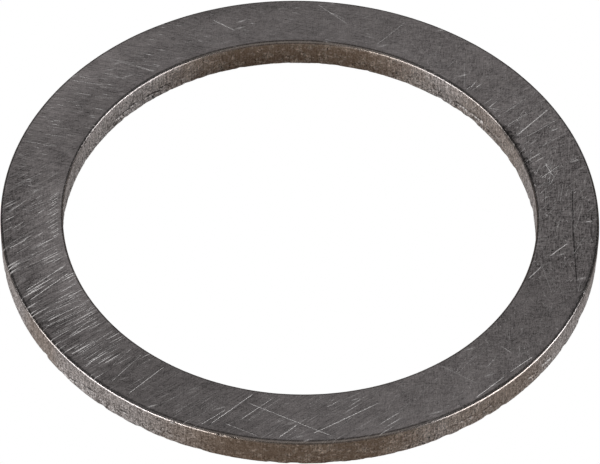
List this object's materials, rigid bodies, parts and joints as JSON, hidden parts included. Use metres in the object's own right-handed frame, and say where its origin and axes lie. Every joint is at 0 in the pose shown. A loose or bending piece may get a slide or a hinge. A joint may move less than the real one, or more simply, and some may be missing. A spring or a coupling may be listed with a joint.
{
  "type": "washer",
  "caption": "Flat steel support ring, punched, with rolled upper edges and a broken band at the foot of both walls.",
  "frame": {"origin": "centre of the lower face, on the ring's axis", "axes": "+Z along the ring's axis, from the lower face with the broken edges to the upper face with the rolled edges"},
  "size_m": [0.0469, 0.0468, 0.0025],
  "materials": {
    "steel": "bare dark steel, finely scratched faces, duller mottled walls"
  },
  "bodies": {
    "root": {"washer": "steel"}
  },
  "joints": []
}
